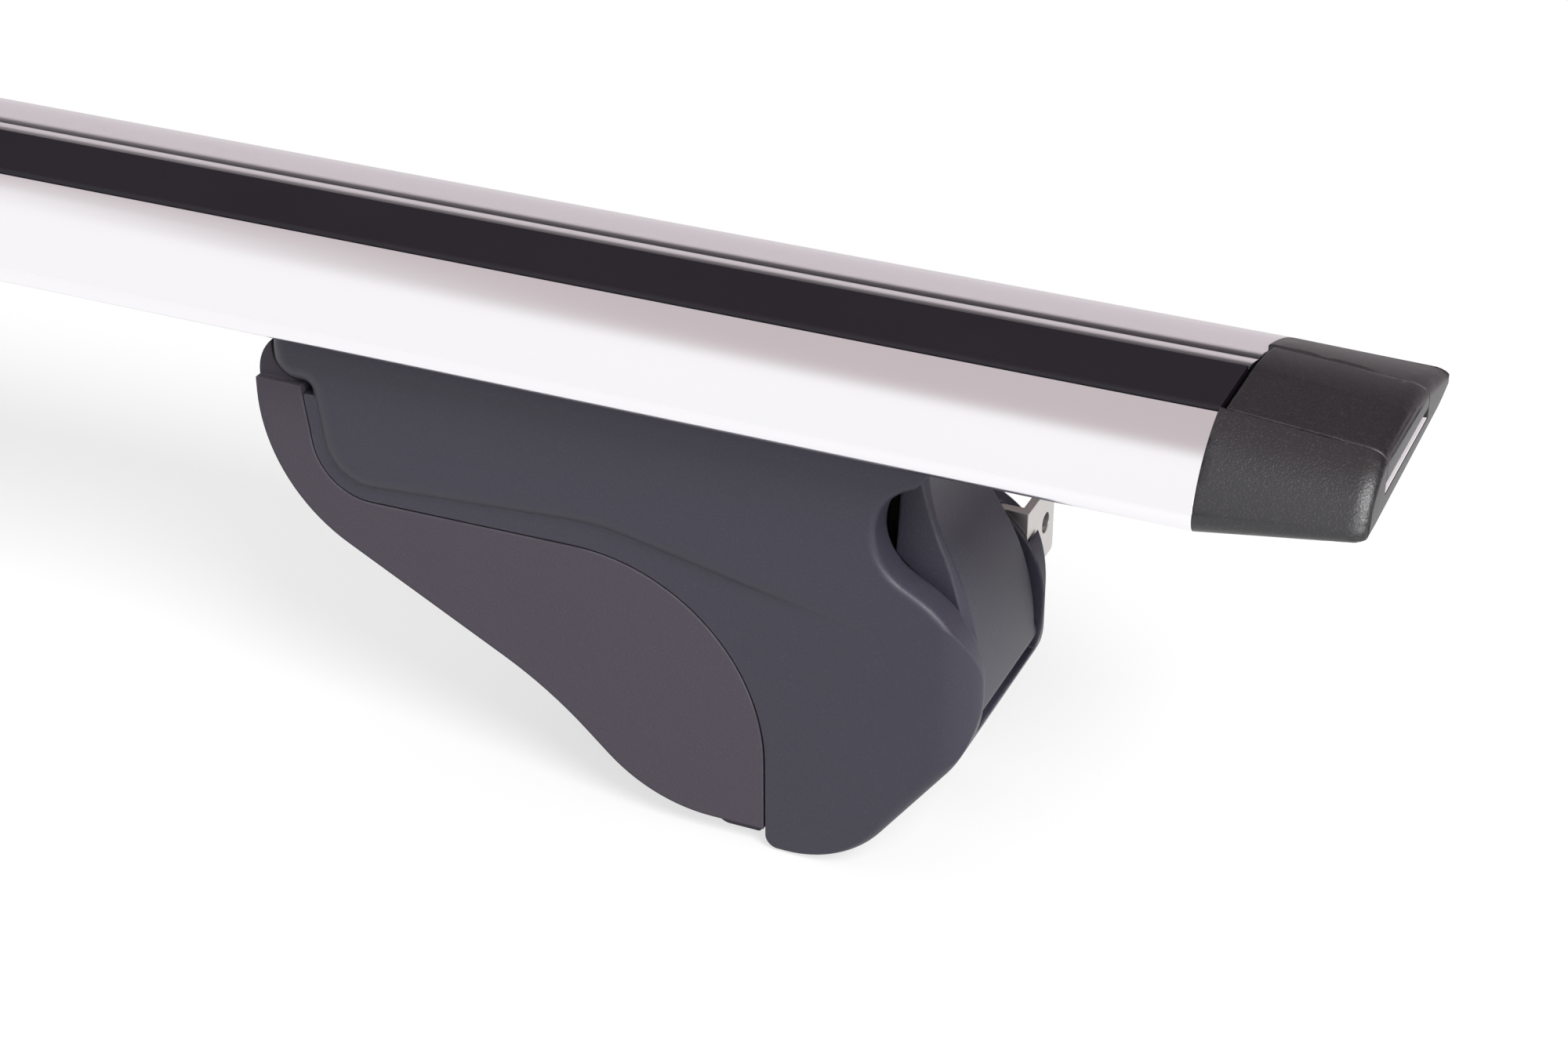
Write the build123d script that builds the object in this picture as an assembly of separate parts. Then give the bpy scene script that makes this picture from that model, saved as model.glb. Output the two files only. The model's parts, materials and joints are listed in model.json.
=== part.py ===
from build123d import *
import os
from math import acos, atan2, copysign, cos, hypot, radians, sin, sqrt

# Roof rack crossbar for raised roof rails, in millimetres.
# X runs along the bar with 0 at its middle, the leading edge faces -Y and Z = 0 is the ground.
# Foot sizes are measured from the rail stop, the inboard face of the foot's lobe, and from the ground.

# Bar extrusion, heights from its underside
bar_length = 1120.0
bar_underside = 115.0
bar_height = 24.5
bar_wall = 2.0
nose_reach = 39.5
nose_height = 5.9
nose_run = 12.5
nose_tip_radius = 4.5
nose_tip_upper_turn = 17.0
nose_tip_lower_turn = 70.0
brow_radius = 25.2
tail_reach = 39.5
tail_height = 9.0
tail_radius = 4.0
tail_upper_turn = 70.0
tail_lower_turn = 75.0
underside_rear = 14.0
rear_radius = 135.0
land_width = 7.7
land_radius = 26.0
land_drop = 1.6
land_rear_drop = 1.5

# Slot in the top of the bar and the strip in it
slot_centre = -13.0
strip_width = 21.0
strip_proud = 1.0
strip_gap = 0.2
lip_thickness = 2.6
lip_depth = 2.2
slot_depth = 12.5
strip_wing = 2.6
strip_edge_radius = 0.8

# Lower slot of the bar and the fixings of the foot in it
lower_mouth = 7.4
lower_width = 16.0
lower_depth = 6.0
nut_plate_width = 15.4
nut_plate_thickness = 4.6
nut_plate_length = 96.0
bar_screw_radius = 3.0
bar_screw_head_radius = 5.0
bar_screw_head_height = 5.5
bar_screw_inboard = 70.0
bar_screw_outboard = 10.0
thread_clearance = 0.05
screw_clearance = 0.3

# End cap
cap_length = 36.0
cap_top_drop = 3.0
cap_bottom_rise = 5.4
cap_nose_draw = 2.0
cap_tail_draw = 4.0
cap_edge_radius = 3.0
cap_corner_radius = 5.0
cap_plug_length = 18.0
cap_plug_clearance = 0.3
crown_radius = 106.0

# Flap of the end cap
flap_front = -23.5
flap_rear = 13.4
flap_gap = 0.35
flap_end_gap = 1.4
flap_skin = 2.8
flap_pivot_inset = 3.0
flap_pivot_depth = 9.5
flap_wall = 5.0
flap_pin_radius = 1.2
flap_pin_reach = 3.0

# Foot shell
foot_setback = 103.0
field_half_width = 28.0
base_half_width = 26.0
shell_wall = 2.6
shell_roof = 3.0
end_wall = 7.0
end_flat = 1.3
step_height = 99.3
step_margin = 1.0
step_lean = 3.7
step_radius = 0.6
rail_roof = 72.5
rail_roof_inboard = 71.0
rail_roof_radius = 15.0
saddle_radius = 48.0
stop_face = 0.5
stop_radius = 3.5
lobe_reach = 52.6
lobe_foot = 20.9
lobe_foot_radius = 30.0
lobe_bevel_height = 41.5
lobe_bevel_radius = 32.0
shoulder_height = 71.3
shoulder_radius = 26.0
scoop_depth = 24.7
scoop_height = 93.4
scoop_radius = 14.0
scoop_turn = 69.3
scoop_wall = 5.0
top_inset = 8.6
corner_round = 9.6
corner_overrun = 0.3
lobe_edge_round = 3.0
claw_mouth_height = 22.0
claw_mouth_depth = 6.0
room_lip = 36.0

# Raised field of the shell and the base under it
field_roll_margin = 0.95
field_margin = 1.6
field_step_radius = 1.0
field_end_radius = 14.0
crease_bend = 42.0
crease_bend_height = 77.3
crease_bend_radius = 60.0
crease_end_height = 57.0
crease_overrun = 8.0
base_top_drop = 2.3
swell_start = -5.0
swell_end = 36.0

# Rail pad
pad_gap = 0.4
pad_reach = 132.3
pad_overhang = 4.3
pad_lining = 6.0
pad_skirt = 2.8
pad_end_wall = 5.0
skirt_corner_drop = 29.4
skirt_bend = 56.5
skirt_bend_height = 30.0
skirt_foot = 29.3
skirt_low = 4.6
skirt_corner_radius = 42.0
skirt_bend_radius = 100.0
skirt_foot_radius = 40.0
pad_upstand_gap = 3.0
pad_upstand_flat = 3.0
pad_upstand_half_width = 24.0

# End cover
cover_half_width = 19.3
cover_top_half_width = 14.0
cover_gap = 0.5
cover_skin = 2.6
cover_top = 107.5
cover_shoulder = 73.5
cover_ledge = 84.0
cover_ledge_gap = 1.0
cover_top_inset = 12.3
cover_wave_inset = 5.8
cover_wave_height = 85.5
cover_back_inset = 17.8
cover_flare_low = 56.0
cover_edge_chamfer = 2.0
cover_pivot_inset = 5.8
cover_pivot_z = 47.8
knuckle_gap = 0.2
cover_knuckle_radius = 4.6
cover_pin_radius = 1.5
cover_pin_half_length = 24.0

# Clamp: claw on its pivot, clamp bolt and barrel nut
pivot_x = 20.0
pivot_z = 22.5
pivot_radius = 4.0
claw_arm = 34.0
claw_swing = 10.0
bolt_tilt = 8.0
bolt_radius = 3.0
bolt_head_radius = 5.0
bolt_head_height = 6.0
bolt_socket_width = 5.0
bolt_socket_depth = 3.0
bolt_head_inset = 1.7
bolt_head_gap = 0.1
bolt_tail = 9.0
nut_radius = 6.0
nut_clearance = 0.15
claw_half_width = 20.0
claw_hub_radius = 8.5
claw_eye_radius = 9.0
claw_cheek_inner = 9.0
claw_cheek_outer = 15.0
claw_plate_low = 3.4
claw_plate_high = 7.6
claw_tip = -12.0
claw_hub_margin = 1.0
hook_heel = 9.5
hook_throat = 6.0
hook_drop = 2.0
hook_bend = 5.0
hook_throat_bend = 3.0
boot_half_width = 22.5
boot_wall = 2.3
boot_length = 12.5
boot_nose_radius = 4.2
boot_heel_radius = 1.0
boot_fit = 0.1
running_clearance = 0.05

# Bracket inside the shell
bracket_thickness = 2.5
bracket_gap = 0.4
bracket_inboard = 88.0
bracket_lug_radius = 9.0
bracket_saddle_gap = 5.5
bracket_scoop_gap = 8.0
bracket_lip_gap = 3.5
bracket_heel = 52.0
bracket_heel_gap = 1.0
seat_thickness = 3.0
seat_half_height = 9.5
ear_thickness = 2.0
ear_inset = 4.9
ear_root = 6.0
ear_corner_radius = 1.2
ear_top = 78.0
ear_bottom = 59.0
ear_reach = 39.3
ear_hole_y = 33.5
ear_hole_z = 68.9
ear_hole_radius = 2.6
ear_slot_gap = 0.4

# Sizes that follow
lip_top = bar_height - strip_proud
slot_mouth = strip_width + 2 * strip_gap
slot_undercut = slot_mouth + 2 * lip_depth
slot_floor = bar_height - slot_depth
foot_x = bar_length / 2 - foot_setback
foot_inboard = pad_reach - pad_overhang
end_radius = (bar_underside - step_height - end_flat) / 2
step_run = end_radius + step_margin
field_roll = end_radius - field_roll_margin
scoop_reach = lobe_reach - scoop_depth
cover_pivot_x = lobe_reach - cover_pivot_inset
room_end = cover_pivot_x - cover_knuckle_radius - knuckle_gap
mouth_back = scoop_reach - scoop_wall
ear_face = lobe_reach - ear_inset
roof_under = bar_underside - shell_roof
shell_inner = base_half_width - shell_wall
bracket_outer = shell_inner - bracket_gap
bracket_inner = bracket_outer - bracket_thickness
swing = radians(claw_swing)
tilt = radians(bolt_tilt)
bolt_x = cos(tilt)
bolt_z = sin(tilt)
nut_x = pivot_x - claw_arm * sin(tilt + swing / 2)
nut_z = pivot_z + claw_arm * cos(tilt + swing / 2)
axis_lift = claw_arm * (1 - cos(swing / 2)) / 2
bolt_seat = (cover_pivot_x - bolt_head_inset - nut_x) / bolt_x - bolt_head_height


def arc_middle(start, end, radius):
    """Middle of the arc of this radius, left of the way from start to end, or right if it is negative."""
    dx = end[0] - start[0]
    dy = end[1] - start[1]
    chord = hypot(dx, dy)
    rise = copysign(abs(radius) - sqrt(radius**2 - chord**2 / 4), radius)
    return ((start[0] + end[0]) / 2 - dy / chord * rise, (start[1] + end[1]) / 2 + dx / chord * rise)


def bow(start, end, radius):
    """Arc of a radius from start to end."""
    return ThreePointArc(start, arc_middle(start, end, radius), end)


def arc_chain(start, tangent, *points):
    """Arcs from point to point, each leaving in the direction in which the last one ended."""
    arcs = []
    for point in points:
        arcs.append(TangentArc(start, point, tangent=tangent))
        start = point
        tangent = arcs[-1] % 1
    return arcs


def tangent_point(centre, radius, corner):
    """Place on a circle where a line from the corner touches it, clockwise of the way to the corner."""
    dx = corner[0] - centre[0]
    dy = corner[1] - centre[1]
    turn = atan2(dy, dx) - acos(radius / hypot(dx, dy))
    return (centre[0] + radius * cos(turn), centre[1] + radius * sin(turn))


def rectangle(x_low, x_high, y_low, y_high):
    """Rectangle between four limits."""
    return Pos((x_low + x_high) / 2, (y_low + y_high) / 2) * Rectangle(x_high - x_low, y_high - y_low)


def plate(face, half_width):
    """Side-view face made a plate of this half width about Y = 0."""
    return extrude(Plane.XZ * face, half_width, both=True)


def slab(face, y_low, y_high):
    """Side-view face made a plate between two places on Y."""
    return Pos(0, y_high, 0) * extrude(Plane.XZ * face, y_high - y_low)


def rod(x, z, radius, y_low, y_high):
    """Round bar along Y."""
    return slab(Pos(x, z) * Circle(radius), y_low, y_high)


def bolt_point(distance):
    """Place on the clamp bolt's axis, at a distance outboard of the nut's place at rest."""
    x = nut_x - bolt_z * axis_lift + bolt_x * distance
    z = nut_z + bolt_x * axis_lift + bolt_z * distance
    return (x, 0, z)


def across_bolt(distance):
    """Plane square to the clamp bolt's axis, facing outboard."""
    return Plane(bolt_point(distance), x_dir=(0, 1, 0), z_dir=(bolt_x, 0, bolt_z))


def along_bolt(distance, radius, length):
    """Round bar along the clamp bolt's axis."""
    return extrude(across_bolt(distance) * Circle(radius), length)


def around(centre, radius, degrees):
    """Place on a circle, at an angle from the first axis."""
    turn = radians(degrees)
    return (centre[0] + radius * cos(turn), centre[1] + radius * sin(turn))


def wing_points():
    """Named corners of the wing section, each as Y and height above the underside."""
    nose = (-nose_reach + nose_tip_radius, nose_height)
    tail = (tail_reach - tail_radius, tail_height)
    return {
        "nose_high": around(nose, nose_tip_radius, 180 - nose_tip_upper_turn),
        "nose": (-nose_reach, nose_height),
        "nose_low": around(nose, nose_tip_radius, 180 + nose_tip_lower_turn),
        "under_front": (-nose_reach + nose_run, 0),
        "under_rear": (underside_rear, 0),
        "tail_low": around(tail, tail_radius, -tail_lower_turn),
        "tail": (tail_reach, tail_height),
        "tail_high": around(tail, tail_radius, tail_upper_turn),
    }


def wing_belly(fit):
    """Edges of the wing section from the top of its tail, round the underside, to its nose."""
    corner = wing_points()
    run = corner["tail_low"][0] - underside_rear
    rise = corner["tail_low"][1]
    sweep = (run**2 + rise**2) / (2 * rise)
    tail_middle = arc_middle(corner["tail_low"], corner["under_rear"], sweep)
    return [
        ThreePointArc(fit(corner["tail_high"]), fit(corner["tail"]), fit(corner["tail_low"])),
        ThreePointArc(fit(corner["tail_low"]), fit(tail_middle), fit(corner["under_rear"])),
        Line(fit(corner["under_rear"]), fit(corner["under_front"])),
        TangentArc(fit(corner["under_front"]), fit(corner["nose_low"]), tangent=(-1, 0)),
        ThreePointArc(fit(corner["nose_low"]), fit(corner["nose"]), fit(corner["nose_high"])),
    ]


def bar_outline():
    """Wing section of the bar, with a flat for the slot and two bowed lands behind it."""
    corner = wing_points()
    front = (slot_centre - slot_mouth / 2 - strip_gap, lip_top)
    rear = (slot_centre + slot_mouth / 2 + strip_gap, lip_top)
    ridge = (rear[0] + land_width, lip_top - land_drop)
    end = (ridge[0] + land_width, lip_top - land_drop - land_rear_drop)
    edges = [
        Line(front, rear),
        bow(rear, ridge, land_radius),
        bow(ridge, end, land_radius),
        bow(end, corner["tail_high"], rear_radius),
        bow(corner["nose_high"], front, brow_radius),
    ]
    return make_face(edges + wing_belly(lambda point: point))


def slot_void():
    """T-shaped opening of the top slot, open upwards."""
    half = slot_mouth / 2
    mouth = rectangle(slot_centre - half, slot_centre + half, slot_floor, bar_height + bar_wall)
    return mouth + undercut_void()


def undercut_void():
    """Wide part of the top slot, below its lips."""
    half = slot_undercut / 2
    return rectangle(slot_centre - half, slot_centre + half, slot_floor, lip_top - lip_thickness)


def bar_chambers():
    """Hollow chambers of the bar between its outer wall, the slots and the two webs."""
    half = slot_undercut / 2 + bar_wall
    slot_box = rectangle(slot_centre - half, slot_centre + half, slot_floor - bar_wall, bar_height)
    front_web = rectangle(slot_centre - half, slot_centre - half + bar_wall, 0, bar_height)
    rear_web = rectangle(slot_centre + half - bar_wall, slot_centre + half, 0, bar_height)
    lower_half = lower_width / 2 + bar_wall
    lower_box = rectangle(-lower_half, lower_half, 0, lower_depth + 2 * bar_wall)
    return offset(bar_outline(), -bar_wall) - slot_box - front_web - rear_web - lower_box


def lower_void():
    """T-shaped opening of the lower slot, open downwards."""
    mouth = rectangle(-lower_mouth / 2, lower_mouth / 2, -bar_wall, bar_wall)
    return mouth + rectangle(-lower_width / 2, lower_width / 2, bar_wall, bar_wall + lower_depth)


def bar_extrusion():
    """Hollow aluminium bar."""
    section = bar_outline() - bar_chambers() - slot_void() - lower_void()
    return Pos(0, 0, bar_underside) * extrude(Plane.YZ * section, bar_length / 2, both=True)


def slot_strip():
    """Rubber strip with wings under the slot's lips."""
    wing_top = lip_top - lip_thickness
    half = slot_undercut / 2 - strip_gap
    front = slot_centre - strip_width / 2
    rear = slot_centre + strip_width / 2
    stem = FilletPolyline(
        (front, wing_top), (front, bar_height), (rear, bar_height), (rear, wing_top),
        radius=[0, strip_edge_radius, strip_edge_radius, 0], close=True,
    )
    wings = rectangle(slot_centre - half, slot_centre + half, wing_top - strip_wing, wing_top)
    return Pos(0, 0, bar_underside) * extrude(Plane.YZ * (make_face(stem) + wings), bar_length / 2, both=True)


def cap_section(at_end):
    """Closed wing section of the end cap, full at the bar and drawn in at its outboard end."""
    y_scale = 1.0
    y_shift = 0.0
    z_scale = 1.0
    z_shift = 0.0
    if at_end:
        y_scale = 1 - (cap_nose_draw + cap_tail_draw) / (nose_reach + tail_reach)
        y_shift = cap_nose_draw - nose_reach * (1 - y_scale)
        z_scale = 1 - (cap_top_drop + cap_bottom_rise) / bar_height
        z_shift = cap_bottom_rise

    def fit(point):
        return (point[0] * y_scale + y_shift, point[1] * z_scale + z_shift)

    corner = wing_points()
    front = (flap_front, bar_height)
    rear = (slot_centre + strip_width / 2, bar_height)
    crown = arc_middle(rear, corner["tail_high"], crown_radius)
    brow = arc_middle(corner["nose_high"], front, brow_radius)
    edges = [
        Line(fit(front), fit(rear)),
        ThreePointArc(fit(rear), fit(crown), fit(corner["tail_high"])),
        ThreePointArc(fit(corner["nose_high"]), fit(brow), fit(front)),
    ]
    return make_face(edges + wing_belly(fit))


def cap_blank():
    """Whole outer form of the end cap and its flap, from the bar's end outboard."""
    form = loft([Plane.YZ * cap_section(False), Plane.YZ.offset(cap_length) * cap_section(True)], ruled=True)
    side = FilletPolyline(
        (-cap_length, -bar_height), (cap_length, cap_bottom_rise), (cap_length, bar_height - cap_top_drop),
        (-cap_length, 2 * bar_height), radius=[0, cap_edge_radius, cap_edge_radius, 0], close=True,
    )
    plan = FilletPolyline(
        (-cap_length, -2 * nose_reach), (cap_length, cap_nose_draw - nose_reach),
        (cap_length, tail_reach - cap_tail_draw), (-cap_length, 2 * tail_reach),
        radius=[0, cap_corner_radius, cap_corner_radius, 0], close=True,
    )
    return form & plate(make_face(side), 2 * tail_reach) & extrude(make_face(plan), bar_height)


def cap_body(blank):
    """End cap without its flap: nose, tail, floor, end wall and plugs in the bar's chambers."""
    pivot_x_place = cap_length - flap_pivot_inset
    pivot_height = bar_height - flap_pivot_depth
    sweep = flap_pivot_inset + flap_gap
    beyond = cap_length + flap_wall
    floor_void = rectangle(-bar_wall, pivot_x_place, slot_floor, 2 * bar_height)
    end_void = rectangle(pivot_x_place - flap_wall, beyond, pivot_height, 2 * bar_height)
    recess = Pos(pivot_x_place, pivot_height) * Circle(sweep)
    recess += rectangle(pivot_x_place, beyond, pivot_height - sweep, pivot_height)
    pocket = slab(floor_void + end_void + recess, flap_front, flap_rear)
    track = extrude(Plane.YZ * undercut_void(), pivot_x_place - flap_wall)
    pin_hole = rod(
        pivot_x_place, pivot_height, flap_pin_radius + running_clearance / 2,
        flap_front - flap_pin_reach, flap_rear + flap_pin_reach,
    )
    plugs = extrude(Plane.YZ * offset(bar_chambers(), -cap_plug_clearance), -cap_plug_length)
    return blank - pocket - track - pin_hole + plugs


def cap_flap(blank):
    """Flap over the slot mouth: a skin along the cap's top, an end wall and a hinge barrel."""
    pivot_x_place = cap_length - flap_pivot_inset
    pivot_height = bar_height - flap_pivot_depth
    low = flap_front + flap_gap
    high = flap_rear - flap_gap
    reach = rectangle(flap_end_gap, 2 * cap_length, pivot_height, 2 * bar_height)
    wall = rectangle(pivot_x_place - flap_wall / 2, 2 * cap_length, pivot_height, 2 * bar_height)
    skin = (blank - Pos(0, 0, -flap_skin) * blank) & slab(reach, low, high)
    end_wall = blank & slab(wall, low, high)
    barrel = rod(pivot_x_place, pivot_height, flap_pivot_inset, low, high)
    bore = rod(pivot_x_place, pivot_height, flap_pin_radius + running_clearance, low, high)
    return skin + end_wall + barrel - bore


def flap_pin():
    """Hinge pin of the flap, held in the cap's nose and tail."""
    return rod(
        cap_length - flap_pivot_inset, bar_height - flap_pivot_depth, flap_pin_radius,
        flap_front - flap_pin_reach, flap_rear + flap_pin_reach,
    )


def shell_outline():
    """Side view of the foot shell: flat top, finger scoop, shoulder, lobe, rail saddle and inboard end."""
    scoop_centre = (scoop_reach + scoop_radius, scoop_height)
    scoop_top = around(scoop_centre, scoop_radius, 180 - scoop_turn)
    shoulder = (lobe_reach, shoulder_height)
    scoop_low = tangent_point(scoop_centre, scoop_radius, shoulder)
    top_outboard = (lobe_reach - top_inset, bar_underside)
    step_x = -foot_inboard + step_run
    inboard_top = (-foot_inboard + 2 * end_radius, bar_underside)
    edges = [
        Line(inboard_top, top_outboard),
        Line(top_outboard, scoop_top),
        ThreePointArc(scoop_top, (scoop_reach, scoop_height), scoop_low),
        FilletPolyline(
            scoop_low, shoulder, (lobe_reach, lobe_bevel_height), (lobe_foot, 0), (stop_face, 0),
            (stop_face, rail_roof), (step_x + step_lean, rail_roof_inboard), (step_x, step_height),
            (-foot_inboard, step_height), (-foot_inboard, bar_underside), inboard_top,
            radius=[
                shoulder_radius, lobe_bevel_radius, lobe_foot_radius, stop_radius, saddle_radius,
                rail_roof_radius, step_radius, end_radius, end_radius,
            ],
        ),
    ]
    return make_face(edges)


def raised_field():
    """Raised upper field of the shell, rolled softly down to a crease along its lower edge."""
    past = lobe_reach + crease_overrun
    step_x = -foot_inboard + step_run + field_margin
    outline = FilletPolyline(
        (-foot_inboard, bar_underside), (-foot_inboard, step_height), (step_x, step_height),
        (step_x + step_lean, rail_roof_inboard + field_margin), (-crease_bend, crease_bend_height),
        (past, crease_end_height), (past, bar_underside),
        radius=[end_radius, end_radius, field_step_radius, field_end_radius, crease_bend_radius, 0, 0],
        close=True,
    )
    field = plate(make_face(outline), field_half_width)
    sides = field.faces().sort_by(Axis.Y)
    edges = sides[0].edges() + sides[-1].edges()
    rolled = [edge for edge in edges if edge.center().X < past - field_margin]
    return fillet(rolled, field_roll)


def lower_base():
    """Shell below the crease: flush with the pad inboard, swelling to the field's width at the lobe."""
    extent = rectangle(-2 * foot_inboard, 2 * lobe_reach, -bar_wall, step_height - base_top_drop)
    block = plate(shell_outline() & extent, field_half_width)
    low_edges = [edge for edge in block.edges() if edge.center().Z < lobe_bevel_height]
    side_edges = [edge for edge in low_edges if abs(edge.center().Y) > base_half_width]
    rim = [edge for edge in side_edges if edge.center().X > stop_radius]
    half_plan = Polyline(
        (-2 * foot_inboard, 0), (-2 * foot_inboard, base_half_width), (swell_start, base_half_width),
        (swell_end, field_half_width), (2 * lobe_reach, field_half_width), (2 * lobe_reach, 0), close=True,
    )
    plan = make_face(half_plan) + mirror(make_face(half_plan), about=Plane.XZ)
    return fillet(rim, lobe_edge_round) & extrude(plan, bar_underside)


def shell_room():
    """Side view of the shell's inner room, held back from the scoops and the cover's mouth."""
    lip = Polyline(
        (mouth_back, 2 * bar_underside), (mouth_back, cover_ledge), (room_end, cover_shoulder),
        (room_end, room_lip), (2 * lobe_reach, room_lip), (2 * lobe_reach, 2 * bar_underside), close=True,
    )
    above = rectangle(-2 * foot_inboard, 2 * lobe_reach, roof_under, 2 * bar_underside)
    extent = rectangle(-foot_inboard + end_wall - shell_wall, 2 * lobe_reach, -bar_wall, 2 * bar_underside)
    return offset(shell_outline() & extent, -shell_wall) - make_face(lip) - above


def cover_mouth():
    """Side view of the opening that the end cover closes, with a round recess for its knuckle."""
    low = cover_pivot_z - cover_knuckle_radius - 2 * cover_gap
    inside = room_end - bar_wall / 2
    mouth = Polyline(
        (mouth_back, roof_under), (2 * lobe_reach, roof_under), (2 * lobe_reach, low), (inside, low),
        (inside, cover_shoulder), (mouth_back, cover_ledge), close=True,
    )
    recess = Pos(cover_pivot_x, cover_pivot_z) * Circle(cover_knuckle_radius + 2 * cover_gap)
    return make_face(mouth) + recess


def foot_shell():
    """Hollow plastic shell with an open mouth for the cover and one for the claw."""
    inboard_end = rectangle(-2 * foot_inboard, -foot_inboard / 2, step_height - field_roll, 2 * bar_underside)
    field = raised_field() & plate(shell_outline() + inboard_end, 2 * field_half_width)
    scoop_edges = [
        edge for edge in field.edges().filter_by(GeomType.CIRCLE)
        if abs(edge.center().Y) > base_half_width and edge.center().X > mouth_back
    ]
    field = fillet(scoop_edges, field_roll / 4)
    corners = FilletPolyline(
        (-2 * foot_inboard, -field_half_width), (lobe_reach + corner_overrun, -field_half_width),
        (lobe_reach + corner_overrun, field_half_width), (-2 * foot_inboard, field_half_width),
        radius=[0, corner_round, corner_round, 0], close=True,
    )
    outer = (lower_base() + field) & extrude(make_face(corners), bar_underside)
    claw_side = rectangle(-bar_wall, claw_mouth_depth, -bar_wall, claw_mouth_height)
    claw_mouth = plate(claw_side, boot_half_width + cover_gap)
    pin_hole = rod(
        cover_pivot_x, cover_pivot_z, cover_pin_radius + running_clearance / 2,
        -cover_pin_half_length, cover_pin_half_length,
    )
    ear_low = ear_bottom - ear_slot_gap
    ear_high = ear_top + ear_slot_gap
    ear_pocket = slab(
        rectangle(cover_pivot_x - 3 * cover_knuckle_radius, ear_face + ear_slot_gap, ear_low, ear_high),
        bracket_inner - ear_slot_gap, shell_inner,
    )
    ear_slit = slab(
        rectangle(ear_face - ear_thickness - ear_slot_gap, ear_face + ear_slot_gap, ear_low, ear_high),
        bracket_inner - ear_slot_gap, 2 * field_half_width,
    )
    return (
        outer - plate(shell_room(), shell_inner) - plate(cover_mouth(), cover_half_width + cover_gap)
        - claw_mouth - pin_hole - ear_pocket - ear_slit - screw_holes(bar_screw_radius + screw_clearance)
    )


def screw_holes(radius):
    """Upright round bars at the places of the two bar screws."""
    places = [Pos(-bar_screw_inboard, 0, 0), Pos(-bar_screw_outboard, 0, 0)]
    upright = extrude(Pos(0, 0, roof_under - 2 * shell_roof) * Circle(radius), bar_height + 2 * shell_roof)
    return [place * upright for place in places]


def pad_outline():
    """Side view of the pad's skirt, from its inboard end down along the rail side to the rail stop."""
    top = step_height - pad_gap
    skirt = FilletPolyline(
        (bar_wall, top), (-pad_reach, top), (-pad_reach, step_height - skirt_corner_drop),
        (-skirt_bend, skirt_bend_height), (-skirt_foot, skirt_low), (bar_wall, skirt_low),
        radius=[0, 0, skirt_corner_radius, skirt_bend_radius, skirt_foot_radius, 0], close=True,
    )
    return make_face(skirt) - offset(shell_outline(), pad_gap)


def rail_pad():
    """Rubber pad: front and rear skirts, a lining under the rail roof and a wall round the inboard end."""
    lining = offset(shell_outline(), pad_gap + pad_lining)
    beyond = rectangle(-pad_reach + pad_end_wall, bar_wall, 0, step_height)
    claw_room = rectangle(-pad_lining - bar_wall, bar_wall, 0, claw_mouth_height + bar_wall)
    hollow = (pad_outline() - lining) & beyond
    half = base_half_width - pad_skirt
    low = step_height - pad_skirt
    high = bar_underside - pad_upstand_gap
    inside = -pad_reach + 2 * (high - low)
    upstand = FilletPolyline(
        (-pad_reach, low), (-pad_reach, high), (inside, high), (inside, low),
        radius=[0, high - low - pad_upstand_flat, 0, 0], close=True,
    )
    inboard_wall = make_face(upstand) - offset(shell_outline(), pad_gap)
    return (
        plate(pad_outline(), base_half_width) - plate(hollow, half) - plate(claw_room, half)
        + plate(inboard_wall, pad_upstand_half_width)
    )


def cover_outline():
    """Side view of the end cover: a waved outer face, side flanges and the hinge knuckle."""
    low = (cover_pivot_x + cover_knuckle_radius, cover_pivot_z)
    wave = (cover_pivot_x - cover_wave_inset, cover_wave_height)
    top = (cover_pivot_x - cover_top_inset, cover_top)
    flange = cover_pivot_x - cover_knuckle_radius
    back = cover_pivot_x - cover_back_inset
    edges = [
        *arc_chain(low, (0, 1), wave, top),
        Polyline(
            top, (back, cover_top), (back, cover_ledge - cover_ledge_gap),
            (flange, cover_shoulder - cover_gap), (flange, cover_pivot_z), low,
        ),
    ]
    return make_face(edges) + Pos(cover_pivot_x, cover_pivot_z) * Circle(cover_knuckle_radius)


def cover_front(inset):
    """Front view of the end cover, drawn in towards its top, less an inset on each side."""
    wide = (cover_half_width - inset, cover_flare_low)
    narrow = (cover_top_half_width - inset, cover_top)
    half_way = ((wide[0] + narrow[0]) / 2, (wide[1] + narrow[1]) / 2)
    half = [
        Polyline((0, 2 * bar_underside), (narrow[0], 2 * bar_underside), narrow),
        *arc_chain(narrow, (0, -1), half_way, wide),
        Polyline(wide, (wide[0], 0), (0, 0)),
    ]
    return make_face(half + [mirror(edge, about=Plane.YZ) for edge in half])


def end_cover():
    """Hollow end cover on its hinge knuckle, its waved face chamfered along both sides."""
    outside = plate(cover_outline(), cover_half_width) & extrude(Plane.YZ * cover_front(0), 2 * lobe_reach)
    waves = [
        face for face in outside.faces().filter_by(GeomType.CYLINDER)
        if abs(face.center().Y) < cover_gap and face.center().Z > cover_pivot_z
    ]
    sides = [edge for face in waves for edge in face.edges() if abs(edge.center().Y) > cover_gap]
    outside = chamfer(sides, cover_edge_chamfer)
    inner = plate(Pos(-cover_skin, 0) * cover_outline(), cover_half_width)
    inner_front = extrude(Plane.YZ * cover_front(cover_skin), 2 * lobe_reach)
    knuckle = rod(cover_pivot_x, cover_pivot_z, cover_knuckle_radius, -cover_half_width, cover_half_width)
    bore_radius = cover_pin_radius + running_clearance
    bore = rod(cover_pivot_x, cover_pivot_z, bore_radius, -cover_half_width, cover_half_width)
    return outside - (inner & inner_front) + knuckle - bore


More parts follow.
